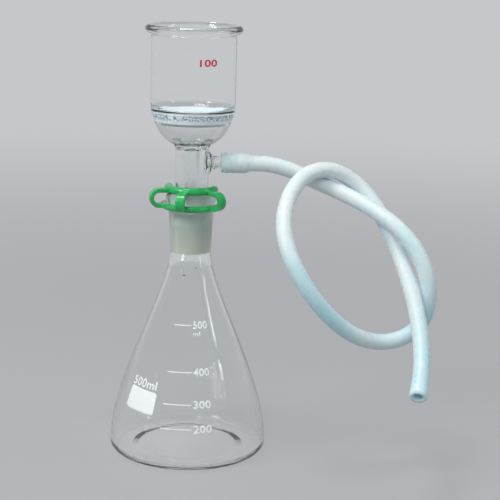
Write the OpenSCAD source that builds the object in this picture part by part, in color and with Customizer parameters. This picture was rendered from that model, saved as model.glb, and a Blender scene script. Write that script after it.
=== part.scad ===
// Vacuum filtration unit: a conical flask with a ground socket, a fritted glass
// filter funnel seated in it, the plastic clip that locks the joint, and a
// length of soft vacuum hose that is pushed on the funnel's side arm.
// Millimetres, +Z up. The origin is the centre of the flask's base, and the
// side arm points along +X.

/* [Flask] */
// Outer diameter of the flask's base
flask_d = 105; // [87:1:130]
// Height from the base to the flask's rim
flask_h = 176; // [145:1:215]
// Wall of the flask's body
flask_wall = 2; // [1.5:0.1:3]
// Thickness of the flask's bottom
flask_bottom = 2.6; // [2:0.1:4]
// Radius of the rounded edge round the foot
foot_r = 6; // [4:0.5:9]
// Width of the flat ring that the flask stands on
foot_ring = 9; // [5:1:15]
// How far the middle of the base is drawn up
punt = 0.8; // [0.4:0.1:1.5]
// How far up the flank stays nearly upright
belly = 41; // [30:1:55]
// How far down the shoulder stays nearly upright
shoulder = 25; // [15:1:35]
// Radius of the reinforcing bead round the rim
bead_r = 3.2; // [2.6:0.1:3.4]
// How far the bead stands out from the socket
bead_out = 1.5; // [1:0.1:2.5]

/* [Ground joint] */
// Diameter of the joint at its large end
joint_d = 24; // [20:0.5:29]
// Length of the ground zone
joint_len = 40; // [30:1:45]
// Loss of diameter over each millimetre of length
joint_taper = 0.1; // [0.08:0.01:0.12]
// Wall of the socket round the ground zone
socket_wall = 3.5; // [2.5:0.1:4]
// Radial clearance between the cone and the socket
joint_gap = 0.05; // [0.02:0.01:0.1]
// How far the cone stops short of the socket's small end
cone_short = 1; // [0.5:0.5:3]
// Wall of the cone
cone_wall = 2; // [1.5:0.1:2.5]

/* [Funnel] */
// Outer diameter of the cup
cup_d = 55.6; // [46:0.2:68]
// Wall of the cup
cup_wall = 2.2; // [1.6:0.1:3]
// Depth of the cup from its rim to the filter disc
cup_h = 55.4; // [40:0.2:80]
// How far the rolled rim stands out from the cup
rim_out = 3.8; // [3:0.1:6]
// Height of the rolled rim
rim_h = 5.2; // [4:0.1:6]
// How far the outside draws in, on the radius, at the filter disc's underside
pinch = 2.4; // [1:0.1:3]
// Depth of the bowl under the filter disc
bowl_h = 16; // [12:0.5:24]
// Wall of the bowl
bowl_wall = 2; // [1.5:0.1:2.5]
// Outer diameter of the neck tube
neck_d = 22; // [20:0.5:24]
// Wall of the neck tube
neck_wall = 1.5; // [1.2:0.1:2]
// Length of the neck tube from the flask's rim to the bowl
neck_h = 31.5; // [27:0.5:45]
// Outer diameter of the drip stem inside the neck tube
stem_d = 9.6; // [9:0.1:11]
// Wall of the drip stem
stem_wall = 1.2; // [1:0.1:1.5]
// How far the drip stem reaches below the ground cone
stem_out = 18; // [8:1:30]
// Angle of the cut across the drip stem's tip
stem_cut = 35; // [0:5:45]

/* [Filter disc] */
// Width of the ledge round the fritted disc, inside the cup's wall
disc_ledge = 3.1; // [2:0.1:4.5]
// Thickness of the fritted disc
disc_t = 6.4; // [3:0.2:8]

/* [Side arm] */
// Height of the side arm above the flask's rim
arm_rise = 20; // [16:0.5:22]
// Outer diameter of the side arm
arm_d = 8.2; // [7:0.1:10]
// Bore of the side arm
arm_bore = 5.2; // [4.2:0.1:5.6]
// Distance of the side arm's tip from the funnel's axis
arm_reach = 37; // [34:0.5:44]
// How far the weld at the arm's root flares
weld_out = 3.4; // [2:0.1:4]
// How far each barb stands out from the side arm
barb_out = 0.8; // [0.5:0.1:1.2]
// Distance from one barb to the next
barb_pitch = 5; // [4:0.5:5]

/* [Joint clip] */
// Diameter of the clip's upper rod
upper_rod = 5.2; // [4:0.1:5.6]
// Diameter of the clip's lower rod
lower_rod = 4.2; // [2.6:0.1:4.4]
// Radial play between the upper rod and the neck tube
upper_play = 2; // [0.3:0.1:3]
// Radial play between the lower rod and the socket
lower_play = 1.3; // [0.3:0.1:2]
// Clearance between the clip and the flask's rim
clip_gap = 0.3; // [0.2:0.05:0.5]
// Height of the lower rod below the flask's rim
lower_drop = 8.4; // [7.8:0.1:9]
// Width of each strap
strap_w = 6.2; // [5:0.2:9]
// Thickness of each strap
strap_t = 2.8; // [1.8:0.1:3]
// How far each strap stands out from the flask's bead
strap_out = 11.2; // [8.5:0.1:12]
// Angle from the middle strap to each side strap
strap_turn = 63; // [50:1:70]
// Angle from the middle strap to each end of the upper rod
upper_turn = 90; // [85:1:90]
// Angle from the middle strap to each end of the lower rod
lower_turn = 90; // [85:1:90]
// Turn of the clip on the joint, 0 with its closed side to the front
clip_turn = -16; // [-40:1:40]

/* [Vacuum hose] */
// Outer diameter of the hose
hose_d = 10.4; // [9:0.1:10.8]
// Bore of the hose
hose_bore = 6.4; // [5:0.1:7]
// How far the hose is pushed over the side arm
hose_grip = 18; // [14:0.5:18]
// Wall of the hose where the barbs stretch it
grip_wall = 1.8; // [1.4:0.1:2.2]
// How much the hose's free end flares, on the radius
end_flare = 0.4; // [0.1:0.1:0.8]

/* [Hidden] */
$fn = 96;

// The hose's route from the end of its grip on the side arm, as steps from that
// point. It dips into a loose overhand knot and ends with a free, open end.
ROUTE = [
    [0, 0, 0], [12, 0, 0], [24, 2, -3], [36, 4, -9], [49, 3, -14], [61, -2, -18],
    [72, -8, -23], [83, -16, -28], [94, -25, -35], [103, -32, -43], [110, -37, -54],
    [114, -40, -66], [116, -41, -79], [114, -40, -92], [108, -38, -101], [99, -38, -107],
    [88, -40, -109], [75, -45, -106], [62, -52, -98], [49, -59, -86], [37, -62, -71],
    [28, -59, -56], [22, -51, -42], [21, -40, -30], [24, -28, -20], [29, -18, -12],
    [36, -10, -6], [45, -5, -3], [55, 1, -4], [65, 5, -9], [74, 5, -16], [82, 2, -24],
    [89, -6, -35], [95, -17, -47], [100, -29, -60], [104, -41, -73], [107, -54, -87],
    [108, -69, -101.5], [107, -84.6, -115.75], [102.8, -99, -127]
];
HOSE_SIDES = 12;

FLANK_STEPS = 22;
ARC_STEPS = 12;
BOWL_STEPS = 30;
ROLL_STEPS = 16;
SHORT_STEPS = 10;
EPS = 0.01;
// Small edges: flame-polished glass, the cone's foot and the moulded parts
polish = 0.6;
cone_edge = 0.5;

rim_z = flask_h;
joint_foot_z = flask_h - joint_len;
cone_foot_z = joint_foot_z + cone_short;
bowl_z = flask_h + neck_h;
disc_z = bowl_z + bowl_h;
disc_top_z = disc_z + disc_t;
cup_top_z = disc_top_z + cup_h;
stem_foot_z = cone_foot_z - stem_out;
arm_z = flask_h + arm_rise;
bead_z = rim_z - bead_r;
bead_edge_r = joint_d / 2 + socket_wall + bead_out;
bead_mid_r = bead_edge_r - bead_r;

function socket_r(z) = joint_d / 2 - (rim_z - z) * joint_taper / 2;
function cone_r(z) = socket_r(z) - joint_gap;

// Points along an arc about a centre, from angle a to angle b
function arc(centre, r, a, b, steps) =
    [for (i = [0:steps]) centre + r * [cos(a + (b - a) * i / steps), sin(a + (b - a) * i / steps)]];

// Points along a cubic curve between p and s, pulled towards q and r
function cubic(p, q, r, s, steps) = [
    for (i = [0:steps]) let (t = i / steps, u = 1 - t)
        u * u * u * p + 3 * t * u * u * q + 3 * t * t * u * r + t * t * t * s
];

function reversed(list) = [for (i = [len(list) - 1:-1:0]) list[i]];

function unit(v) = v / norm(v);

// A line moved sideways by d, to the left of the way it runs
function beside(line, d) = [
    for (i = [0:len(line) - 1])
        let (way = unit(line[min(i + 1, len(line) - 1)] - line[max(i - 1, 0)]))
        line[i] + d * [-way[1], way[0]]
];

/* ---- Flask ---- */

flask_r = flask_d / 2;
socket_foot = [socket_r(joint_foot_z) + socket_wall, joint_foot_z];
socket_head = [socket_r(bead_z - bead_r) + socket_wall, bead_z - bead_r];
FLANK = cubic(
    [flask_r, foot_r],
    [flask_r, foot_r + belly],
    socket_foot - [0, shoulder],
    socket_foot,
    FLANK_STEPS
);

module conical_flask() {
    bead_root = -50; // angle at which the bead springs from the socket
    foot_in = flask_r - foot_r - foot_ring;
    inner_foot_r = foot_r - flask_wall;
    inner_flank = beside(FLANK, flask_wall);
    inner_neck = [socket_r(joint_foot_z), joint_foot_z];
    outside = concat(
        [[0, punt], [foot_in - foot_ring / 2, punt], [foot_in, 0]],
        arc([flask_r - foot_r, foot_r], foot_r, -90, 0, ARC_STEPS),
        [for (i = [1:FLANK_STEPS]) FLANK[i]],
        [socket_head],
        arc([bead_mid_r, bead_z], bead_r, bead_root, 90, ARC_STEPS)
    );
    inside = concat(
        [[socket_r(rim_z) + polish, rim_z], [socket_r(rim_z - polish), rim_z - polish], inner_neck],
        [for (i = [FLANK_STEPS - 2:-1:1]) inner_flank[i]],
        arc([flask_r - foot_r, flask_bottom + inner_foot_r], inner_foot_r, 0, -90, SHORT_STEPS),
        [[0, flask_bottom + punt]]
    );
    color("azure", 0.35) rotate_extrude() polygon(concat(outside, inside));
}

/* ---- Filter funnel ---- */

cup_r = cup_d / 2;
cup_in_r = cup_r - cup_wall;
disc_r = cup_in_r - disc_ledge;
pinch_r = cup_r - pinch;
neck_r = neck_d / 2;
neck_in_r = neck_r - neck_wall;
stem_r = stem_d / 2;
stem_in_r = stem_r - stem_wall;
rim_r = cup_r + rim_out;
roll_r = rim_h / 2;
roll_z = cup_top_z - roll_r;

// The bowl's outside, from the disc down to the neck
BOWL = cubic(
    [pinch_r, disc_z],
    [pinch_r - 2.2, disc_z - bowl_h * 0.4],
    [neck_r + 7.5, bowl_z + bowl_h * 0.12],
    [neck_r - 1, bowl_z],
    BOWL_STEPS
);

// Cup, bowl and drip stem, blown as one shell
module cup_and_stem() {
    bowl_inside = beside(BOWL, -bowl_wall);
    outside = concat(
        [[stem_r, stem_foot_z], [stem_r, bowl_z - 1.5]],
        reversed(BOWL),
        cubic([pinch_r, disc_z], [pinch_r + 0.9, disc_z + disc_t / 2],
            [cup_r, disc_top_z - 1], [cup_r, disc_top_z + 5], BOWL_STEPS),
        cubic([cup_r, roll_z - 6], [cup_r, roll_z - 3.5],
            [rim_r - roll_r - 1.5, roll_z - roll_r - 1], [rim_r - roll_r, roll_z - roll_r],
            SHORT_STEPS),
        arc([rim_r - roll_r, roll_z], roll_r, -75, 90, ROLL_STEPS)
    );
    inside = concat(
        cubic([rim_r - roll_r - 1.8, cup_top_z - 0.3], [cup_in_r + 0.6, cup_top_z - 0.9],
            [cup_in_r, roll_z - 2], [cup_in_r, roll_z - 6], SHORT_STEPS),
        cubic([cup_in_r, disc_top_z + 5], [cup_in_r, disc_top_z + 2],
            [disc_r + 0.8, disc_top_z + 0.6], [disc_r, disc_top_z], SHORT_STEPS),
        [[disc_r, disc_z]],
        [for (i = [BOWL_STEPS / 10:BOWL_STEPS * 8 / 10]) bowl_inside[i]],
        cubic([stem_in_r + 2.5, bowl_z + bowl_wall + 0.6], [stem_in_r + 0.8, bowl_z + bowl_wall],
            [stem_in_r, bowl_z + 1], [stem_in_r, bowl_z - 1], SHORT_STEPS),
        [[stem_in_r, stem_foot_z]]
    );
    rotate_extrude() polygon(concat(outside, inside));
}

// Neck tube sealed to the bowl at its top, with the ground cone at its foot
module neck_and_cone() {
    cone_top_z = rim_z;
    rotate_extrude() polygon(concat(
        [[cone_r(cone_foot_z) - cone_wall, cone_foot_z],
            [cone_r(cone_foot_z) - cone_edge, cone_foot_z],
            [cone_r(cone_foot_z + cone_edge), cone_foot_z + cone_edge],
            [cone_r(cone_top_z), cone_top_z],
            [neck_r, cone_top_z + 1.6],
            [neck_r, bowl_z - 2.5]],
        [[neck_r + 0.4, bowl_z - 1], [neck_r + 1.3, bowl_z + 0.55], [neck_r + 1, bowl_z + 1.2]],
        [[neck_in_r - 1, bowl_z + 1.2], [neck_in_r - 0.6, bowl_z - 1], [neck_in_r, bowl_z - 3]],
        [[neck_in_r, cone_top_z + 1],
            [cone_r(cone_top_z) - cone_wall - 1, cone_top_z - 4]]
    ));
}

// Half outline of the side arm from the neck to its tip, as [distance, radius]
arm_r = arm_d / 2;
barb_r = arm_r + barb_out;
grip_x = arm_reach - hose_grip;
weld_clear = 1;
BARBS = [
    for (i = [0:2]) let (x = grip_x + 2 + i * barb_pitch)
        each [[x, arm_r], [x + 1.4, barb_r], [x + 2, barb_r], [x + barb_pitch - 0.6, arm_r]]
];
ARM_TIP = [[arm_reach - 0.4, arm_r - 0.1], [arm_reach, arm_r - 0.5]];

module along_x() {
    rotate([0, 90, 0]) rotate_extrude() rotate(90) mirror([0, 1]) children();
}

module side_arm() {
    weld_r = arm_r + weld_out;
    root_x = neck_in_r + 0.4;
    weld_x = grip_x - weld_clear;
    along_x() polygon(concat(
        [[root_x, 0], [root_x, weld_r]],
        cubic([neck_r, weld_r], [neck_r + (weld_x - neck_r) / 4, arm_r + weld_out / 4],
            [neck_r + (weld_x - neck_r) / 2, arm_r], [weld_x, arm_r], SHORT_STEPS),
        [[grip_x, arm_r]],
        BARBS,
        ARM_TIP,
        [[arm_reach, 0]]
    ));
}

module filter_funnel() {
    tip_w = 4 * stem_d;
    color("azure", 0.35) difference() {
        union() {
            cup_and_stem();
            neck_and_cone();
            translate([0, 0, arm_z]) side_arm();
        }
        translate([stem_r + 1.5, 0, arm_z]) rotate([0, 90, 0])
            cylinder(d = arm_bore, h = arm_reach);
        translate([-stem_r, 0, stem_foot_z]) rotate([0, -stem_cut, 0])
            translate([-tip_w / 2, -tip_w / 2, -tip_w]) cube([tip_w * 2, tip_w, tip_w]);
    }
}

/* ---- Fritted disc ---- */

module fritted_disc() {
    edge = 0.4;
    color("white") rotate_extrude() polygon([
        [0, disc_z], [disc_r - edge, disc_z], [disc_r, disc_z + edge],
        [disc_r, disc_top_z - edge], [disc_r - edge, disc_top_z], [0, disc_top_z]
    ]);
}

/* ---- Joint clip ---- */

upper_r = neck_r + upper_play + upper_rod / 2;
upper_z = rim_z + clip_gap + upper_rod / 2;
lower_z = rim_z - lower_drop;
lower_r = socket_r(lower_z) + socket_wall + lower_play + lower_rod / 2;
strap_reach = bead_edge_r + strap_out;

// A rod bent into an open ring, with its closed side along -Y and tapered tips
module open_ring(r, rod, turn) {
    rotate([0, 0, -90 - turn]) rotate_extrude(angle = 2 * turn) translate([r, 0]) circle(d = rod);
    for (side = [-1, 1]) rotate([0, 0, -90 + side * turn]) translate([r, 0, 0])
        rotate([-90 * side, 0, 0]) cylinder(d1 = rod, d2 = rod * 0.5, h = rod * 0.6);
}

// One strap: a flat band that runs out from the upper rod, round the bead, and
// back to the lower rod
module strap() {
    leg_z = rim_z + clip_gap + strap_t / 2;
    bend = (leg_z - lower_z) / 2;
    bend_x = strap_reach - strap_t / 2 - bend;
    rotate([90, 0, 0]) linear_extrude(strap_w, center = true) union() {
        translate([upper_r, leg_z - strap_t / 2]) square([bend_x - upper_r, strap_t]);
        translate([lower_r, lower_z - strap_t / 2]) square([bend_x - lower_r, strap_t]);
        translate([bend_x, lower_z + bend]) intersection() {
            difference() {
                circle(bend + strap_t / 2);
                circle(bend - strap_t / 2);
            }
            translate([-EPS, -strap_reach]) square(2 * strap_reach);
        }
    }
}

module joint_clip() {
    color("limegreen") rotate([0, 0, clip_turn]) {
        translate([0, 0, upper_z]) open_ring(upper_r, upper_rod, upper_turn);
        translate([0, 0, lower_z]) open_ring(lower_r, lower_rod, lower_turn);
        for (turn = [-strap_turn, 0, strap_turn]) rotate([0, 0, turn - 90]) strap();
    }
}

/* ---- Vacuum hose ---- */

hose_r = hose_d / 2;
hose_in_r = hose_bore / 2;
// The run's ends lie this far inside the round walls of the two ends, and as
// deep as this in them
inset = 0.05;
lap = 1;
run_r = hose_r - inset;
run_in_r = hose_in_r / cos(180 / HOSE_SIDES) + inset;
hose_start = [arm_reach + 1, 0, arm_z];
route = [for (p = ROUTE) hose_start + p];
last = len(route) - 1;
end_way = unit(route[last] - route[last - 1]);
run_line = concat([for (i = [0:last - 1]) route[i]], [route[last - 1] + 2 * lap * end_way]);

function way_at(i) =
    i == 0 ? [1, 0, 0] :
    i >= last - 1 ? end_way :
    unit(unit(route[i + 1] - route[i]) + unit(route[i] - route[i - 1]));

// A direction square to the route at each point, carried along without twist
function sides_from(i, side) =
    let (way = way_at(i), square = unit(side - (side * way) * way))
    i >= last ? [square] : concat([square], sides_from(i + 1, square));
SIDES = sides_from(0, [0, 0, 1]);

function ring(i, r) =
    let (up = SIDES[i], across = cross(way_at(i), up))
    [for (k = [0:HOSE_SIDES - 1]) let (a = 360 * k / HOSE_SIDES)
        run_line[i] + r * (cos(a) * up + sin(a) * across)];

// Two triangles between sides k and k + 1 of ring a and ring b
function patch(a, b, k) =
    let (n = HOSE_SIDES, j = (k + 1) % n)
    [[a * n + k, b * n + k, b * n + j], [a * n + k, b * n + j, a * n + j]];

module hose_run() {
    n = len(run_line);
    outer = [for (i = [0:n - 1]) each ring(i, run_r)];
    inner = [for (i = [0:n - 1]) each ring(i, run_in_r)];
    walls = [for (i = [0:n - 2], k = [0:HOSE_SIDES - 1])
        each concat(patch(i, i + 1, k), patch(n + i + 1, n + i, k))];
    ends = [for (k = [0:HOSE_SIDES - 1]) each concat(patch(n, 0, k), patch(n - 1, 2 * n - 1, k))];
    polyhedron(points = concat(outer, inner), faces = concat(walls, ends));
}

// The hose's round, straight free end
module hose_end() {
    reach = norm(route[last] - route[last - 1]) - lap;
    translate(route[last - 1] + lap * end_way)
        rotate([0, acos(end_way[2]), atan2(end_way[1], end_way[0])])
        difference() {
            cylinder(r1 = hose_r, r2 = hose_r + end_flare, h = reach);
            translate([0, 0, -1]) cylinder(r = hose_in_r, h = reach + 2);
        }
}

// The stretch that grips the barbs, face to face with them
module hose_grip_sleeve() {
    run_x = hose_start[0];
    inside = concat([[grip_x, arm_r]], BARBS, ARM_TIP, [[run_x, hose_in_r], [run_x + lap, hose_in_r]]);
    mouth_r = (arm_r + barb_r) / 2 + grip_wall;
    translate([0, 0, arm_z]) along_x() polygon(concat(
        inside,
        [[run_x + lap, hose_r], [run_x, hose_r], [arm_reach - 2, mouth_r - 0.7]],
        [for (i = [2:-1:0]) let (x = grip_x + 2 + i * barb_pitch)
            each [[x + 3.4, mouth_r - 0.1], [x + 1.7, mouth_r + 0.2], [x, mouth_r - 0.1]]],
        [[grip_x + 0.4, mouth_r], [grip_x, mouth_r - 0.4]]
    ));
}

module vacuum_hose() {
    color("lightcyan") {
        hose_grip_sleeve();
        hose_run();
        hose_end();
    }
}

conical_flask();
filter_funnel();
fritted_disc();
joint_clip();
vacuum_hose();
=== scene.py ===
"""Vacuum filtration unit: glass flask and filter funnel, joint clip and vacuum hose."""

import math

import bmesh
import bpy
from mathutils import Matrix, Vector, noise
from mathutils.bvhtree import BVHTree


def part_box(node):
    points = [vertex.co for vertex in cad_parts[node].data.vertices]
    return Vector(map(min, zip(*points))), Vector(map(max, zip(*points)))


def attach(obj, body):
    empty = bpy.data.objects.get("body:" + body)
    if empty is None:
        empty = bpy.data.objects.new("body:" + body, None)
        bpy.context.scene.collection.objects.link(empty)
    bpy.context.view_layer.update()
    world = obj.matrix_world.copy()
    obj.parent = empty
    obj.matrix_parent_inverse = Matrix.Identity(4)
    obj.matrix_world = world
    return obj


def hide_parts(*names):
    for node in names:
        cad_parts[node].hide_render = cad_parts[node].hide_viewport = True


bl_info = {
    "name": "Vacuum Filtration Unit",
    "version": (1, 0, 0),
    "blender": (4, 5, 0),
    "location": "3D View > Sidebar > Filtration",
    "description": "Finishes a glass vacuum filtration unit around its solid model",
    "category": "Add Mesh",
}

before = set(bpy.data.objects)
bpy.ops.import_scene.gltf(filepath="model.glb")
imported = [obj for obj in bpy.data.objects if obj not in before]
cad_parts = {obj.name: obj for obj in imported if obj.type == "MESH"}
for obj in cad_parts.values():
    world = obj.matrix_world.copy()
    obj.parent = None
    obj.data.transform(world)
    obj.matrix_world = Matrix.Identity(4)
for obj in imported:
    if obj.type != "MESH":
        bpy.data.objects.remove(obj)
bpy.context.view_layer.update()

MM = 0.001
_, FUNNEL_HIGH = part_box("filter_funnel")
_, FLASK_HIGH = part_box("conical_flask")
DISC_LOW, DISC_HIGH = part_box("fritted_disc")
HOSE_LOW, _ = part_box("vacuum_hose")
RIM_Z = FLASK_HIGH.z

# The ground joint: radius at the flask's rim, radius gained for each unit of height, length
JOINT_R = 12 * MM
JOINT_SLOPE = 0.05
JOINT_LENGTH = 40 * MM

# The side arm's height and the distance of its tip from the middle
ARM_Z = RIM_Z + 20 * MM
ARM_TIP = 37 * MM

# The stage: its backdrop's colour and the gap that keeps the floor off the base
BACKDROP = (0.56, 0.57, 0.59)
AIR_GAP = 0.2 * MM

# The hose's route as steps from the end of its grip, in millimetres
ROUTE = (
    (0, 0, 0), (12, 0, 0), (24, 2, -3), (36, 4, -9), (49, 3, -14), (61, -2, -18),
    (72, -8, -23), (83, -16, -28), (94, -25, -35), (103, -32, -43), (110, -37, -54),
    (114, -40, -66), (116, -41, -79), (114, -40, -92), (108, -38, -101), (99, -38, -107),
    (88, -40, -109), (75, -45, -106), (62, -52, -98), (49, -59, -86), (37, -62, -71),
    (28, -59, -56), (22, -51, -42), (21, -40, -30), (24, -28, -20), (29, -18, -12),
    (36, -10, -6), (45, -5, -3), (55, 1, -4), (65, 5, -9), (74, 5, -16), (82, 2, -24),
    (89, -6, -35), (95, -17, -47), (100, -29, -60), (104, -41, -73), (107, -54, -87),
    (108, -69, -101.5), (107, -84.6, -115.75), (102.8, -99, -127),
)


# ---------------------------------------------------------------- settings


class GlassSettings(bpy.types.PropertyGroup):
    tint: bpy.props.FloatVectorProperty(
        name="Tint", description="Colour of the clear glass", subtype="COLOR", size=3,
        default=(0.985, 0.996, 0.991), min=0, max=1)
    ground_tint: bpy.props.FloatVectorProperty(
        name="Ground Tint", description="Colour of the ground zones", subtype="COLOR", size=3,
        default=(0.50, 0.60, 0.56), min=0, max=1)
    ground_roughness: bpy.props.FloatProperty(
        name="Ground Roughness", description="How rough the ground zones are",
        subtype="FACTOR", default=0.5, min=0, max=1)
    ground_haze: bpy.props.FloatProperty(
        name="Ground Haze", description="How much of the light the ground zones scatter",
        subtype="FACTOR", default=0.78, min=0, max=1)


class DiscSettings(bpy.types.PropertyGroup):
    color: bpy.props.FloatVectorProperty(
        name="Colour", description="Colour of the sintered glass", subtype="COLOR", size=3,
        default=(0.80, 0.90, 0.93), min=0, max=1)
    grain: bpy.props.FloatProperty(
        name="Grain", description="Height of the sintered grains", subtype="DISTANCE",
        unit="LENGTH", default=0.22 * MM, min=0, max=1 * MM)


class ClipSettings(bpy.types.PropertyGroup):
    color: bpy.props.FloatVectorProperty(
        name="Colour", description="Colour of the clip's plastic", subtype="COLOR", size=3,
        default=(0.004, 0.36, 0.08), min=0, max=1)
    soften: bpy.props.FloatProperty(
        name="Fillet Voxel", description="Grain of the mesh that rounds the clip's corners",
        subtype="DISTANCE", unit="LENGTH", default=0.32 * MM, min=0.1 * MM, max=1 * MM)


class HoseSettings(bpy.types.PropertyGroup):
    diameter: bpy.props.FloatProperty(
        name="Diameter", description="Outer diameter of the hose", subtype="DISTANCE",
        unit="LENGTH", default=10.4 * MM, min=5 * MM, max=20 * MM)
    bore: bpy.props.FloatProperty(
        name="Bore", description="Inner diameter of the hose", subtype="DISTANCE",
        unit="LENGTH", default=6.4 * MM, min=2 * MM, max=15 * MM)
    length: bpy.props.FloatProperty(
        name="Length", description="Length of the hose from end to end", subtype="DISTANCE",
        unit="LENGTH", default=0.6, min=0.1, max=3)
    color: bpy.props.FloatVectorProperty(
        name="Colour", description="Colour of the silicone", subtype="COLOR", size=3,
        default=(0.50, 0.78, 0.98), min=0, max=1)


class PrintSettings(bpy.types.PropertyGroup):
    enamel: bpy.props.FloatVectorProperty(
        name="Enamel", description="Colour of the flask's print", subtype="COLOR", size=3,
        default=(0.93, 0.95, 0.96), min=0, max=1)
    mark: bpy.props.FloatVectorProperty(
        name="Cup Mark", description="Colour of the cup's print", subtype="COLOR", size=3,
        default=(0.62, 0.02, 0.03), min=0, max=1)


class StageSettings(bpy.types.PropertyGroup):
    floor: bpy.props.FloatVectorProperty(
        name="Floor", description="Colour of the floor and backdrop", subtype="COLOR", size=3,
        default=(0.33, 0.335, 0.34), min=0, max=1)
    camera_place: bpy.props.FloatVectorProperty(
        name="Camera Place", description="Where the camera stands", subtype="TRANSLATION",
        unit="LENGTH", size=3, default=(0.0, -0.944, 0.3503))
    camera_pitch: bpy.props.FloatProperty(
        name="Camera Pitch", description="How far the camera looks down", subtype="ANGLE",
        unit="ROTATION", default=math.radians(12.69))
    camera_yaw: bpy.props.FloatProperty(
        name="Camera Yaw", description="How far the camera looks to the right",
        subtype="ANGLE", unit="ROTATION", default=math.radians(2.4))
    camera_roll: bpy.props.FloatProperty(
        name="Camera Roll", description="How far the camera leans to the left",
        subtype="ANGLE", unit="ROTATION", default=math.radians(1.53))
    lens: bpy.props.FloatProperty(
        name="Lens", description="Focal length on a 36 mm sensor, in millimetres",
        default=104.67, min=20, max=400)


SETTINGS = (
    ("filtration_glass", GlassSettings),
    ("filtration_disc", DiscSettings),
    ("filtration_clip", ClipSettings),
    ("filtration_hose", HoseSettings),
    ("filtration_print", PrintSettings),
    ("filtration_stage", StageSettings),
)


# ---------------------------------------------------------------- helpers


def new_object(name, mesh, material):
    piece = bpy.data.objects.new(name, mesh)
    bpy.context.scene.collection.objects.link(piece)
    mesh.materials.clear()
    mesh.materials.append(material)
    return piece


def mesh_from(name, points, faces, smooth=True):
    mesh = bpy.data.meshes.new(name)
    mesh.from_pydata([tuple(p) for p in points], [], faces)
    mesh.validate()
    mesh.polygons.foreach_set("use_smooth", [smooth] * len(mesh.polygons))
    mesh.update()
    return mesh


def smoothstep(t):
    t = min(1.0, max(0.0, t))
    return t * t * (3 - 2 * t)


class Finish:
    """A node material under construction."""

    def __init__(self, name):
        self.material = bpy.data.materials.new(name)
        self.material.use_nodes = True
        self.tree = self.material.node_tree
        self.shader = self.tree.nodes["Principled BSDF"]
        self.surface = self.shader.outputs[0]

    def node(self, kind, **values):
        node = self.tree.nodes.new(kind)
        for key, value in values.items():
            setattr(node, key, value)
        return node

    def link(self, source, target):
        self.tree.links.new(source, target)

    def set(self, **values):
        for key, value in values.items():
            socket = self.shader.inputs[key.replace("_", " ")]
            if hasattr(value, "__len__") and len(value) == 3 and socket.type == "RGBA":
                value = (*value, 1.0)
            socket.default_value = value

    def feed(self, value, socket):
        """Give an input another node's output, a number or a colour."""
        if isinstance(value, bpy.types.NodeSocket):
            self.link(value, socket)
        elif hasattr(value, "__len__"):
            socket.default_value = (*value, 1.0)
        else:
            socket.default_value = value

    def place(self):
        """Object coordinates, in metres."""
        return self.node("ShaderNodeTexCoord").outputs["Object"]

    def axes(self):
        """X, Y and Z of the object coordinates."""
        place = self.place()
        split = self.node("ShaderNodeSeparateXYZ")
        self.link(place, split.inputs[0])
        return split.outputs

    def math(self, operation, a, b=None, clamp=False):
        node = self.node("ShaderNodeMath", operation=operation, use_clamp=clamp)
        self.feed(a, node.inputs[0])
        if b is not None:
            self.feed(b, node.inputs[1])
        return node.outputs[0]

    def ramp(self, value, low, high, to_low=0.0, to_high=1.0):
        node = self.node("ShaderNodeMapRange", interpolation_type="SMOOTHSTEP")
        self.link(value, node.inputs["Value"])
        node.inputs["From Min"].default_value = low
        node.inputs["From Max"].default_value = high
        node.inputs["To Min"].default_value = to_low
        node.inputs["To Max"].default_value = to_high
        return node.outputs["Result"]

    def grain(self, scale, detail=2.0, roughness=0.5, place=None):
        node = self.node("ShaderNodeTexNoise")
        node.inputs["Scale"].default_value = scale
        node.inputs["Detail"].default_value = detail
        node.inputs["Roughness"].default_value = roughness
        self.link(place or self.place(), node.inputs["Vector"])
        return node.outputs["Fac"]

    def mix(self, factor, low, high):
        """Mix two colours, each given as numbers or as another node's output."""
        node = self.node("ShaderNodeMix", data_type="RGBA")
        self.link(factor, node.inputs["Factor"])
        self.feed(low, node.inputs["A"])
        self.feed(high, node.inputs["B"])
        return node.outputs["Result"]

    def over(self, share, kind, color):
        """Mix another shader over the surface, by a share that may vary."""
        other = self.node(kind)
        self.feed(color, other.inputs["Color"])
        either = self.node("ShaderNodeMixShader")
        self.link(share, either.inputs["Fac"])
        self.link(self.surface, either.inputs[1])
        self.link(other.outputs[0], either.inputs[2])
        self.surface = either.outputs[0]
        self.link(self.surface, self.tree.nodes["Material Output"].inputs["Surface"])

    def pass_lamps(self, share, straight=0.94, slanting=0.42):
        """Let light from the lamps go on through the glass, less of it at a slant."""
        slant = self.node("ShaderNodeLayerWeight")
        slant.inputs["Blend"].default_value = 0.3
        path = self.node("ShaderNodeLightPath").outputs["Is Shadow Ray"]
        passed = self.mix(slant.outputs["Facing"], (straight,) * 3, (slanting,) * 3)
        self.over(self.math("MULTIPLY", path, share), "ShaderNodeBsdfTransparent", passed)

    def bump(self, height, distance, strength=1.0):
        node = self.node("ShaderNodeBump")
        node.inputs["Strength"].default_value = strength
        node.inputs["Distance"].default_value = distance
        self.link(height, node.inputs["Height"])
        self.link(node.outputs["Normal"], self.shader.inputs["Normal"])


def scaled(color, gains):
    """A colour with each part times a gain, or times one gain for all."""
    gains = gains if hasattr(gains, "__len__") else (gains,) * 3
    return tuple(gain * part for gain, part in zip(gains, color))


def carry(node, material):
    """Give a CAD node a material on its object's own slots."""
    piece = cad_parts[node]
    for slot in piece.material_slots:
        slot.link = "OBJECT"
        slot.material = material


# ---------------------------------------------------------------- finishes


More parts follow.
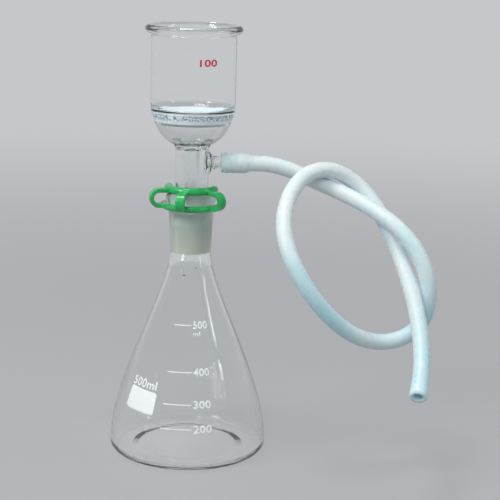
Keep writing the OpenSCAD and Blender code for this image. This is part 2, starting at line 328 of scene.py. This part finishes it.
def ground_zone(finish, axes, inner_side):
    """How ground the glass is: 1 on the joint zone's side of the wall, 0 elsewhere."""
    x, y, z = axes
    radius = finish.math("SQRT", finish.math(
        "ADD", finish.math("MULTIPLY", x, x), finish.math("MULTIPLY", y, y)))
    # with the taper taken out, the ground wall has one radius at every height
    upright = finish.math("SUBTRACT", radius, finish.math("MULTIPLY", z, JOINT_SLOPE))
    wall = JOINT_R - JOINT_SLOPE * RIM_Z
    if inner_side:
        side = finish.math("LESS_THAN", upright, wall + 1.2 * MM)
    else:
        side = finish.math("GREATER_THAN", upright, wall - 1.0 * MM)
    foot = RIM_Z - JOINT_LENGTH
    low = finish.ramp(z, foot - 0.2 * MM, foot + 0.6 * MM)
    high = finish.ramp(z, RIM_Z - 1.2 * MM, RIM_Z - 0.2 * MM, 1.0, 0.0)
    return finish.math("MULTIPLY", side, finish.math("MULTIPLY", low, high))


def glass_finish(name, inner_side):
    """Clear glass whose joint zone is ground, on the inner or the outer side of its wall."""
    look = bpy.context.scene.filtration_glass
    # painted light: the haze is painted lighter near the zone's foot, by colour, and evenly near
    # the rim, to brighten the shade under the clip
    foot_painted_light_gain, rim_painted_light_gain = (1.34, 1.2, 1.1), 1.6
    foot_reach, rim_from, rim_to = 26 * MM, 24 * MM, 10 * MM
    finish = Finish(name)
    finish.set(IOR=1.473)
    axes = finish.axes()
    z = axes[2]
    ground = ground_zone(finish, axes, inner_side)
    streaks = finish.grain(900, 3)
    rough = finish.math("MULTIPLY", ground, look.ground_roughness)
    finish.set(Transmission_Weight=1.0)
    finish.link(rough, finish.shader.inputs["Roughness"])
    finish.link(finish.mix(ground, look.tint, look.ground_tint), finish.shader.inputs["Base Color"])
    foot = RIM_Z - JOINT_LENGTH
    # shares of painted light by height, near the zone's foot and near the rim
    low_end = finish.ramp(z, foot, foot + foot_reach, 1.0, 0.0)
    rim_painted_light_share = finish.ramp(z, RIM_Z - rim_from, RIM_Z - rim_to)
    finish.bump(finish.math("MULTIPLY", streaks, ground), 0.04 * MM, 0.6)
    worn = finish.ramp(finish.grain(240, 3), 0.2, 0.8, 0.92, 1.0)
    haze = finish.math("MULTIPLY", finish.math("MULTIPLY", ground, worn), look.ground_haze)
    # the ground tint with painted light laid in, at the foot and then at the rim
    body = finish.mix(low_end, look.ground_tint, scaled(look.ground_tint, foot_painted_light_gain))
    painted_light_tint = finish.mix(rim_painted_light_share, body, scaled(look.ground_tint, rim_painted_light_gain))
    finish.over(haze, "ShaderNodeBsdfDiffuse", painted_light_tint)
    finish.pass_lamps(finish.math("SUBTRACT", 1.0, finish.math("MULTIPLY", ground, 0.7)))
    return finish.material


def disc_finish():
    """White sintered glass with a band of small fused bubbles round its edge."""
    look = bpy.context.scene.filtration_disc
    bubble_color = (0.10, 0.19, 0.22)
    # the band's two ends and how softly each fades in, as depths under the disc's top
    low_end, low_full, high_full, high_end = 4.6 * MM, 3.0 * MM, 0.6 * MM, 0.2 * MM
    finish = Finish("SinteredGlass")
    fine = finish.grain(2600, 2)
    coarse = finish.grain(700, 3)
    blend = finish.math("MULTIPLY", finish.ramp(coarse, 0.35, 0.65), finish.ramp(fine, 0.3, 0.7))
    height = finish.axes()[2]
    cells = finish.node("ShaderNodeTexVoronoi")
    cells.inputs["Scale"].default_value = 950
    finish.link(finish.place(), cells.inputs["Vector"])
    bubble = finish.ramp(cells.outputs["Distance"], 0.35, 0.58, 1.0, 0.0)
    top = DISC_HIGH.z
    over_foot = finish.ramp(height, top - low_end, top - low_full)
    under_top = finish.ramp(height, top - high_full, top - high_end, 1.0, 0.0)
    fused = finish.math("MULTIPLY", over_foot, under_top)
    sparse = finish.ramp(coarse, 0.24, 0.42)
    specks = finish.math("MULTIPLY", finish.math("MULTIPLY", bubble, fused), sparse)
    white = finish.mix(blend, scaled(look.color, 0.8), look.color)
    finish.link(finish.mix(specks, white, bubble_color), finish.shader.inputs["Base Color"])
    finish.set(Roughness=0.45, Subsurface_Weight=0.6, Subsurface_Scale=1.5 * MM,
               Subsurface_Radius=(0.9, 1.0, 1.0), IOR=1.47)
    finish.bump(fine, 0.15 * MM, 0.8)
    return finish.material


def clip_finish():
    """Smooth moulded plastic with a faint flow pattern and a soft gloss."""
    look = bpy.context.scene.filtration_clip
    finish = Finish("ClipPlastic")
    flow = finish.grain(160, 4)
    pale = tuple(min(1.0, c * 1.25 + 0.004) for c in look.color)
    finish.link(finish.mix(finish.ramp(flow, 0.35, 0.7), look.color, pale),
                finish.shader.inputs["Base Color"])
    speck = finish.grain(1500, 2)
    finish.link(finish.ramp(speck, 0.3, 0.7, 0.20, 0.30), finish.shader.inputs["Roughness"])
    finish.set(IOR=1.5, Coat_Weight=0.5, Coat_Roughness=0.22)
    finish.bump(flow, 0.05 * MM, 0.35)
    return finish.material


def hose_finish():
    """Milky silicone that lets light spread inside it."""
    look = bpy.context.scene.filtration_hose
    finish = Finish("HoseSilicone")
    cloud = finish.grain(14, 2)
    milky = tuple(1 - 0.5 * (1 - c) for c in look.color)
    finish.link(finish.mix(finish.ramp(cloud, 0.35, 0.65), look.color, milky),
                finish.shader.inputs["Base Color"])
    haze = finish.grain(260, 2)
    finish.link(finish.ramp(haze, 0.3, 0.7, 0.24, 0.36), finish.shader.inputs["Roughness"])
    finish.set(IOR=1.41, Subsurface_Weight=1.0, Subsurface_Scale=4.5 * MM,
               Subsurface_Radius=(0.75, 1.0, 1.12), Sheen_Weight=0.8, Sheen_Roughness=0.3)
    finish.bump(haze, 0.05 * MM, 0.3)
    return finish.material


def print_finish(name, color):
    """Fired enamel, a little worn."""
    finish = Finish(name)
    worn = finish.grain(420, 4, 0.7)
    finish.link(finish.mix(finish.ramp(worn, 0.3, 0.55), scaled(color, 0.94), color),
                finish.shader.inputs["Base Color"])
    finish.set(Roughness=0.32, IOR=1.5)
    finish.bump(worn, 0.02 * MM, 0.4)
    return finish.material


# ---------------------------------------------------------------- the hose


def faired(points, share):
    """Each inner point moved by a share of the way to the middle of its neighbours."""
    return [points[0]] + [
        points[i].lerp((points[i - 1] + points[i + 1]) / 2, share)
        for i in range(1, len(points) - 1)
    ] + [points[-1]]


def catmull(points, step):
    """Points about step apart along a smooth curve near the given ones."""
    # averaging takes the rounding out of the points, and its reverse restores the bends
    passes, smoothing, restoring = 3, 0.5, -0.53
    fair = points
    for _ in range(passes):
        fair = faired(faired(fair, smoothing), restoring)
    ends = [2 * fair[0] - fair[1]] + fair + [2 * fair[-1] - fair[-2]]
    curve = []
    for i in range(1, len(ends) - 2):
        a, b, c, d = ends[i - 1:i + 3]
        count = max(2, round((c - b).length / step))
        for k in range(count):
            t = k / count
            curve.append(0.5 * (2 * b + (c - a) * t + (2 * a - 5 * b + 4 * c - d) * t * t
                                + (3 * b - a - 3 * c + d) * t ** 3))
    curve.append(fair[-1])
    return curve


def carried_frames(line):
    """A side and an across vector at each point of a line, carried along without twist."""
    frames, side = [], Vector((0, 0, 1))
    for i in range(len(line)):
        way = (line[min(i + 1, len(line) - 1)] - line[max(i - 1, 0)]).normalized()
        side = (side - side.dot(way) * way).normalized()
        frames.append((side, way.cross(side)))
    return frames


def tube_mesh(name, line, outer, inner, sides=40):
    """A hollow tube along line. outer and inner give the radii at each point."""
    frames = carried_frames(line)
    points, faces = [], []
    for radii in (outer, inner):
        for centre, (up, across), radius in zip(line, frames, radii):
            for k in range(sides):
                turn = math.tau * k / sides
                points.append(centre + radius * (math.cos(turn) * up + math.sin(turn) * across))
    count = len(line)
    for i in range(count - 1):
        for k in range(sides):
            j = (k + 1) % sides
            a, b = i * sides, (i + 1) * sides
            faces.append((a + k, a + j, b + j, b + k))
            c, d = (count + i) * sides, (count + i + 1) * sides
            faces.append((c + j, c + k, d + k, d + j))
    for k in range(sides):
        j = (k + 1) % sides
        c = count * sides
        faces.append((k, c + k, c + j, j))
        a, b = (count - 1) * sides, (2 * count - 1) * sides
        faces.append((a + k, a + j, b + j, b + k))
    return mesh_from(name, points, faces)


def hose_radii(at, look, reach):
    """Outer and inner radius of the hose at a distance along it from its mouth."""
    plain, bore = look.diameter / 2, look.bore / 2
    grip = ARM_TIP - FUNNEL_HIGH.x + 15.5 * MM
    barb, swell, pitch = 4.9 * MM, 6.75 * MM, 5 * MM
    lip, lip_depth, settle = 1.2 * MM, 0.5 * MM, 5 * MM
    end_reach, end_flare = 25 * MM, 0.4 * MM
    if at < grip:
        phase = (at - 2 * MM) / pitch
        ridge = 0.5 + 0.5 * math.cos(math.tau * (phase - 0.34))
        inside = barb + 0.06 * MM - 0.55 * MM * (1 - ridge)
        outside = swell - 0.16 * MM * (1 - ridge)
        if at < lip:
            outside -= lip_depth * (1 - at / lip) ** 2
    else:
        over_tip = swell - 0.2 * MM
        t = smoothstep((at - grip) / settle)
        inside = barb + (bore - barb) * t
        outside = over_tip + (plain - over_tip) * t
        inside = min(inside, outside - 1.2 * MM)
    flare = smoothstep((at - reach + end_reach) / end_reach) * end_flare
    return outside + flare, inside + flare * 0.6


class FILTRATION_OT_vacuum_hose(bpy.types.Operator):
    """Add the soft hose that runs from the side arm in a loose knot to its open end"""

    bl_idname = "filtration.vacuum_hose"
    bl_label = "Vacuum Hose"
    bl_options = {"REGISTER", "UNDO"}

    def execute(self, context):
        look = context.scene.filtration_hose
        mouth = Vector((HOSE_LOW.x, 0, ARM_Z))
        start = Vector((ARM_TIP + 1 * MM, 0, ARM_Z))
        route = [start + Vector(p) * MM for p in ROUTE]
        run = catmull(route, 2.6 * MM)
        steps = 24
        line = [mouth.lerp(start, i / steps) for i in range(steps)] + run
        along = [0.0]
        for a, b in zip(line, line[1:]):
            along.append(along[-1] + (b - a).length)
        radii = [hose_radii(at, look, along[-1]) for at in along]
        outer, inner = [r[0] for r in radii], [r[1] for r in radii]
        mesh = tube_mesh("vacuum_hose_soft", line, outer, inner)
        hose = new_object("vacuum_hose_soft", mesh, hose_finish())
        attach(hose, "funnel")
        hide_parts("vacuum_hose")
        return {"FINISHED"}


# ---------------------------------------------------------------- glass


class FILTRATION_OT_glassware(bpy.types.Operator):
    """Give the flask and the funnel their clear glass with ground joint zones"""

    bl_idname = "filtration.glassware"
    bl_label = "Flask and Funnel Glass"
    bl_options = {"REGISTER", "UNDO"}

    def execute(self, context):
        carry("conical_flask", glass_finish("FlaskGlass", inner_side=True))
        carry("filter_funnel", glass_finish("FunnelGlass", inner_side=False))
        return {"FINISHED"}


def sintered_mesh(radius, low, high, grain):
    """A disc whose two faces are rough with grains of the given height."""
    rings, sides, levels = 60, 150, 12
    smooth_edge = 0.4 * MM

    def bump(p):
        fine = noise.noise(p * 1400)
        coarse = noise.noise(p * 520 + Vector((3, 1, 7)))
        return grain * (0.6 * fine + 0.6 * coarse)

    outline = [(radius * i / rings, high) for i in range(1, rings + 1)]
    outline += [(radius, high + (low - high) * k / levels) for k in range(1, levels)]
    outline += [(radius * i / rings, low) for i in range(rings, 0, -1)]
    points, faces = [], []
    for r, z in outline:
        for k in range(sides):
            turn = math.tau * k / sides
            p = Vector((r * math.cos(turn), r * math.sin(turn), z))
            if z in (low, high) and r < radius - smooth_edge:
                p.z += bump(p)
            points.append(p)
    for i in range(len(outline) - 1):
        for k in range(sides):
            j = (k + 1) % sides
            a, b = i * sides, (i + 1) * sides
            faces.append((a + k, b + k, b + j, a + j))
    points += [Vector((0, 0, high)), Vector((0, 0, low))]
    top, bottom, last = len(points) - 2, len(points) - 1, (len(outline) - 1) * sides
    for k in range(sides):
        j = (k + 1) % sides
        faces.append((top, k, j))
        faces.append((bottom, last + j, last + k))
    return mesh_from("sintered_disc", points, faces)


class FILTRATION_OT_fritted_disc(bpy.types.Operator):
    """Add the porous disc of sintered glass grains under the cup"""

    bl_idname = "filtration.fritted_disc"
    bl_label = "Fritted Disc"
    bl_options = {"REGISTER", "UNDO"}

    def execute(self, context):
        grain = context.scene.filtration_disc.grain
        radius = DISC_HIGH.x + 0.12 * MM
        mesh = sintered_mesh(radius, DISC_LOW.z, DISC_HIGH.z, grain)
        disc = new_object("sintered_disc", mesh, disc_finish())
        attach(disc, "funnel")
        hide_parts("fritted_disc")
        return {"FINISHED"}


def moulded_mesh(context, source, voxel):
    """A copy of a solid's mesh with its corners and roots rounded."""
    rough = bpy.data.objects.new("clip_rough", source.data.copy())
    context.scene.collection.objects.link(rough)
    even = rough.modifiers.new("Even", "REMESH")
    even.mode = "VOXEL"
    even.voxel_size = voxel
    even.use_smooth_shade = True
    soft = rough.modifiers.new("Soften", "SMOOTH")
    soft.factor = 0.5
    soft.iterations = 10
    context.view_layer.update()
    mesh = bpy.data.meshes.new_from_object(
        rough.evaluated_get(context.evaluated_depsgraph_get()))
    bpy.data.objects.remove(rough)
    mesh.name = "joint_clip_moulded"
    mesh.polygons.foreach_set("use_smooth", [True] * len(mesh.polygons))
    return mesh


class FILTRATION_OT_joint_clip(bpy.types.Operator):
    """Round the joint clip's corners and roots as moulded plastic"""

    bl_idname = "filtration.joint_clip"
    bl_label = "Joint Clip"
    bl_options = {"REGISTER", "UNDO"}

    def execute(self, context):
        voxel = context.scene.filtration_clip.soften
        mesh = moulded_mesh(context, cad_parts["joint_clip"], voxel)
        clip = new_object("joint_clip_moulded", mesh, clip_finish())
        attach(clip, "clip")
        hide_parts("joint_clip")
        return {"FINISHED"}


# ---------------------------------------------------------------- print


class Wall:
    """The outside of a round glass node, by height."""

    def __init__(self, node):
        mesh = bmesh.new()
        mesh.from_mesh(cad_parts[node].data)
        tree = BVHTree.FromBMesh(mesh)
        mesh.free()
        low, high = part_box(node)
        margin, outside = 4 * MM, -0.5
        self.step = 0.5 * MM
        self.low = low.z + margin
        self.radii = []
        for i in range(int((high.z - margin - self.low) / self.step)):
            z = self.low + i * self.step
            hit, _, _, _ = tree.ray_cast(Vector((0.0, outside, z)), Vector((0, 1, 0)))
            self.radii.append(-hit.y if hit else 0.0)

    def radius(self, z):
        at = (z - self.low) / self.step
        i = min(len(self.radii) - 2, max(0, int(at)))
        t = at - i
        return self.radii[i] * (1 - t) + self.radii[i + 1] * t

    def lean(self, z):
        """Radius gained for each metre of height."""
        reach = 1 * MM
        return (self.radius(z + reach) - self.radius(z - reach)) / (2 * reach)

    def rise(self, z):
        """Height gained for each metre along the wall."""
        return 1 / math.hypot(1, self.lean(z))

    def point(self, turn, z, proud):
        """A place on the wall, at a turn from the front, and proud of it."""
        r = self.radius(z) + proud * self.rise(z)
        level = z - proud * self.lean(z) * self.rise(z)
        return Vector((r * math.sin(turn), -r * math.cos(turn), level))


def printed(name, wall, flat, turn, z, tilt=0.0):
    """Lay a flat mesh, drawn in metres in X and Y, on the wall as a thin film."""
    longest_edge, thickness, lift = 1.2 * MM, 0.06 * MM, 0.02 * MM
    flat.transform(Matrix.Rotation(tilt, 4, "Z"))
    radius, rise = wall.radius(z), wall.rise(z)
    film = bmesh.new()
    film.from_mesh(flat)
    bmesh.ops.triangulate(film, faces=film.faces[:])
    for _ in range(6):
        long = [e for e in film.edges if e.calc_length() > longest_edge]
        if not long:
            break
        bmesh.ops.subdivide_edges(film, edges=long, cuts=1)
        bmesh.ops.triangulate(film, faces=[f for f in film.faces if len(f.verts) > 3])
    bmesh.ops.solidify(film, geom=film.faces[:], thickness=-thickness)
    for v in film.verts:
        v.co = wall.point(turn + v.co.x / radius, z + v.co.y * rise, lift + max(0.0, v.co.z))
    bmesh.ops.recalc_face_normals(film, faces=film.faces[:])
    mesh = bpy.data.meshes.new(name)
    film.to_mesh(mesh)
    film.free()
    return mesh


def lettered(text, height, width):
    """A flat mesh of plain characters that stand on Y = 0 and start at X = 0."""
    curve = bpy.data.curves.new("digits", "FONT")
    curve.body = text
    curve.size = 1.0
    curve.resolution_u = 6
    curve.offset = 0.022  # a bolder stroke, as a share of the size
    curve.space_character = 1.05
    letters = bpy.data.objects.new("digits", curve)
    bpy.context.scene.collection.objects.link(letters)
    bpy.context.view_layer.update()
    mesh = bpy.data.meshes.new_from_object(
        letters.evaluated_get(bpy.context.evaluated_depsgraph_get()))
    bpy.data.objects.remove(letters)
    xs, ys = [v.co.x for v in mesh.vertices], [v.co.y for v in mesh.vertices]
    low_x, low_y = min(xs), min(ys)
    wide, tall = max(xs) - low_x, max(ys) - low_y
    for v in mesh.vertices:
        v.co = Vector(((v.co.x - low_x) / wide * width, (v.co.y - low_y) / tall * height, 0))
    return mesh


def rounded_bar(width, height, corner):
    """A flat rectangle with rounded corners, its lower left at the origin."""
    steps = 6
    right, top = width - corner, height - corner
    outline = []
    for cx, cy, start in (
        (right, corner, -90), (right, top, 0), (corner, top, 90), (corner, corner, 180),
    ):
        for k in range(steps + 1):
            turn = math.radians(start + 90 / steps * k)
            outline.append((cx + corner * math.cos(turn), cy + corner * math.sin(turn), 0))
    return mesh_from("bar", outline, [tuple(range(len(outline)))])


# The scale: volume, height of its line over the base in millimetres, the turns of the
# line's two ends in degrees, and width of its digits in millimetres
SCALE = (
    (500, 92.3, -22.0, 4.1, 9.8),
    (400, 63.6, -20.8, 3.7, 10.9),
    (300, 43.7, -20.9, 3.3, 11.9),
    (200, 28.3, -21.3, 3.4, 12.4),
)


class FILTRATION_OT_graduations(bpy.types.Operator):
    """Print the white graduations, capacity and writing patch on the flask"""

    bl_idname = "filtration.graduations"
    bl_label = "Flask Print"
    bl_options = {"REGISTER", "UNDO"}

    def execute(self, context):
        wall = Wall("conical_flask")
        enamel = print_finish("WhiteEnamel", context.scene.filtration_print.enamel)
        self.scale(wall, enamel)
        unit = lettered("ml", 3.0 * MM, 4.6 * MM)
        self.lay("unit_ml", wall, unit, 5.4, 85.6 * MM, enamel)
        capacity = lettered("500ml", 6.0 * MM, 21.4 * MM)
        self.lay("capacity", wall, capacity, -57.7, 51.3 * MM, enamel, -2.5)
        patch = rounded_bar(25.2 * MM, 14.8 * MM, 2.0 * MM)
        self.lay("writing_patch", wall, patch, -59.1, 36.4 * MM, enamel, -3.8)
        return {"FINISHED"}

    def scale(self, wall, enamel):
        line_height, line_corner = 0.62 * MM, 0.25 * MM
        digit_height, digit_drop, digit_turn = 5.2 * MM, 2.4 * MM, 1.2
        for volume, height, left, right, wide in SCALE:
            z = height * MM
            span = math.radians(right - left) * wall.radius(z)
            line = rounded_bar(span, line_height, line_corner)
            self.lay(f"line_{volume}", wall, line, left, z - line_height / 2, enamel)
            digits = lettered(str(volume), digit_height, wide * MM)
            self.lay(f"digits_{volume}", wall, digits, right + digit_turn, z - digit_drop, enamel)

    def lay(self, name, wall, flat, turn, z, material, tilt=0.0):
        """Print a flat mesh on the flask, at a turn and with a tilt in degrees."""
        film = printed(name, wall, flat, math.radians(turn), z, math.radians(tilt))
        piece = new_object(name, film, material)
        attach(piece, "flask")


class FILTRATION_OT_cup_mark(bpy.types.Operator):
    """Print the red volume mark on the cup"""

    bl_idname = "filtration.cup_mark"
    bl_label = "Cup Mark"
    bl_options = {"REGISTER", "UNDO"}

    def execute(self, context):
        wall = Wall("filter_funnel")
        red = print_finish("RedMark", context.scene.filtration_print.mark)
        digits = lettered("100", 4.6 * MM, 11.5 * MM)
        film = printed("cup_mark", wall, digits, math.radians(8.0), 261.0 * MM)
        piece = new_object("cup_mark", film, red)
        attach(piece, "funnel")
        return {"FINISHED"}


# ---------------------------------------------------------------- stage


def floor_finish(color):
    """Matt floor that turns into an even backdrop behind the object."""
    finish = Finish("PaleFloor")
    finish.set(Base_Color=color, Roughness=0.85, IOR=1.3)
    path = finish.node("ShaderNodeLightPath").outputs
    seen = finish.math("ADD", finish.math("ADD", path["Is Camera Ray"], path["Is Glossy Ray"]),
                       path["Is Transmission Ray"], clamp=True)
    away = finish.node("ShaderNodeVectorMath", operation="LENGTH")
    finish.link(finish.place(), away.inputs[0])
    share = finish.ramp(away.outputs["Value"], 0.25, 1.6, 0.5, 1.0)
    finish.over(finish.math("MULTIPLY", seen, share), "ShaderNodeEmission", BACKDROP)
    return finish.material


def pale_world():
    """Soft light from all round, which looks like the backdrop where it is seen."""
    ambient_color, ambient_strength = (0.9, 0.95, 1.0), 0.42
    world = bpy.data.worlds.new("World")
    world.use_nodes = True
    tree = world.node_tree
    ambient = tree.nodes["Background"]
    ambient.inputs["Color"].default_value = (*ambient_color, 1)
    ambient.inputs["Strength"].default_value = ambient_strength
    seen = tree.nodes.new("ShaderNodeBackground")
    seen.inputs["Color"].default_value = (*BACKDROP, 1)
    path = tree.nodes.new("ShaderNodeLightPath")
    either = tree.nodes.new("ShaderNodeMath")
    either.operation = "MAXIMUM"
    tree.links.new(path.outputs["Is Camera Ray"], either.inputs[0])
    tree.links.new(path.outputs["Is Transmission Ray"], either.inputs[1])
    mix = tree.nodes.new("ShaderNodeMixShader")
    tree.links.new(either.outputs[0], mix.inputs[0])
    tree.links.new(ambient.outputs[0], mix.inputs[1])
    tree.links.new(seen.outputs[0], mix.inputs[2])
    tree.links.new(mix.outputs[0], tree.nodes["World Output"].inputs["Surface"])
    return world


# The lamps: name, place, point aimed at, width and height, all in metres, and watts
LAMPS = (
    ("KeyLight", (-1.02, -0.69, 1.10), (0.02, 0, 0.14), (0.4, 0.5), 7),
    ("StripLight", (1.2, -0.45, 0.75), (0.02, 0, 0.12), (0.10, 0.9), 2.0),
    ("TopLight", (-0.25, -0.2, 1.45), (0.02, 0, 0.2), (0.4, 0.4), 7.5),
    ("FrontLight", (-0.3, -1.15, 1.0), (0.02, 0, 0.14), (0.5, 0.5), 5),
)


def softbox(name, place, aim, size, power):
    lamp = bpy.data.lights.new(name, "AREA")
    lamp.shape = "RECTANGLE"
    lamp.size, lamp.size_y = size
    lamp.energy = power
    box = bpy.data.objects.new(name, lamp)
    bpy.context.scene.collection.objects.link(box)
    box.location = place
    box.rotation_euler = (Vector(aim) - Vector(place)).to_track_quat("-Z", "Y").to_euler()
    return box


class FILTRATION_OT_stage(bpy.types.Operator):
    """Add the camera, the pale floor with its backdrop, and the soft lights"""

    bl_idname = "filtration.stage"
    bl_label = "Stage"
    bl_options = {"REGISTER", "UNDO"}

    def execute(self, context):
        stage = context.scene.filtration_stage
        self.camera(context, stage)
        self.floor(stage)
        self.lights(context)
        context.scene.view_settings.view_transform = "Standard"
        return {"FINISHED"}

    def camera(self, context, stage):
        pitch, yaw, roll = stage.camera_pitch, stage.camera_yaw, stage.camera_roll
        ahead = Vector((math.sin(yaw) * math.cos(pitch), math.cos(yaw) * math.cos(pitch),
                        -math.sin(pitch)))
        level = Vector((math.cos(yaw), -math.sin(yaw), 0))
        across = math.cos(roll) * level + math.sin(roll) * level.cross(ahead)
        up = across.cross(ahead)
        lens = bpy.data.cameras.new("Camera")
        lens.sensor_width = 36
        lens.lens = stage.lens
        lens.clip_start, lens.clip_end = 0.05, 30
        camera = bpy.data.objects.new("Camera", lens)
        context.scene.collection.objects.link(camera)
        turn = Matrix((across, up, -ahead)).transposed().to_4x4()
        camera.matrix_world = Matrix.Translation(Vector(stage.camera_place)) @ turn
        context.scene.camera = camera

    def floor(self, stage):
        """A level floor that bends up into a backdrop."""
        bend, back, wide, tall, front = 1.2, 2.4, 5.0, 4.0, -3.5
        profile = [(front, -AIR_GAP), (0.0, -AIR_GAP)]
        for degrees in range(0, 91, 5):
            turn = math.radians(degrees)
            profile.append((back + bend * math.sin(turn), bend - bend * math.cos(turn)))
        profile.append((back + bend, tall))
        points = [(x, y, z) for y, z in profile for x in (-wide, wide)]
        faces = [(2 * i, 2 * i + 1, 2 * i + 3, 2 * i + 2) for i in range(len(profile) - 1)]
        floor = new_object("floor", mesh_from("floor", points, faces), floor_finish(stage.floor))

    def lights(self, context):
        boxes = {name: softbox(name, *values) for name, *values in LAMPS}
        # the front lamp only fills, and isn't mirrored in or seen through the glass
        boxes["FrontLight"].visible_glossy = False
        boxes["FrontLight"].visible_transmission = False
        context.scene.world = pale_world()


# ---------------------------------------------------------------- add-on


class FILTRATION_PT_panel(bpy.types.Panel):
    """The filtration unit's pieces and settings"""

    bl_idname = "FILTRATION_PT_panel"
    bl_label = "Filtration Unit"
    bl_space_type = "VIEW_3D"
    bl_region_type = "UI"
    bl_category = "Filtration"

    def draw(self, context):
        layout = self.layout
        for operator in OPERATORS:
            layout.operator(operator.bl_idname)
        for name, group in SETTINGS:
            box = layout.box()
            box.label(text=group.__name__.replace("Settings", ""))
            for key in group.__annotations__:
                box.prop(getattr(context.scene, name), key)


OPERATORS = (
    FILTRATION_OT_stage,
    FILTRATION_OT_vacuum_hose,
    FILTRATION_OT_glassware,
    FILTRATION_OT_fritted_disc,
    FILTRATION_OT_joint_clip,
    FILTRATION_OT_graduations,
    FILTRATION_OT_cup_mark,
)
CLASSES = tuple(group for _, group in SETTINGS) + OPERATORS + (FILTRATION_PT_panel,)


def register():
    for item in CLASSES:
        bpy.utils.register_class(item)
    for name, group in SETTINGS:
        setattr(bpy.types.Scene, name, bpy.props.PointerProperty(type=group))


def unregister():
    for name, _ in SETTINGS:
        delattr(bpy.types.Scene, name)
    for item in reversed(CLASSES):
        bpy.utils.unregister_class(item)


def main():
    register()
    bpy.ops.filtration.stage()
    bpy.ops.filtration.vacuum_hose()
    bpy.ops.filtration.glassware()
    bpy.ops.filtration.fritted_disc()
    bpy.ops.filtration.joint_clip()
    bpy.ops.filtration.graduations()
    bpy.ops.filtration.cup_mark()


if __name__ == "__main__":
    main()
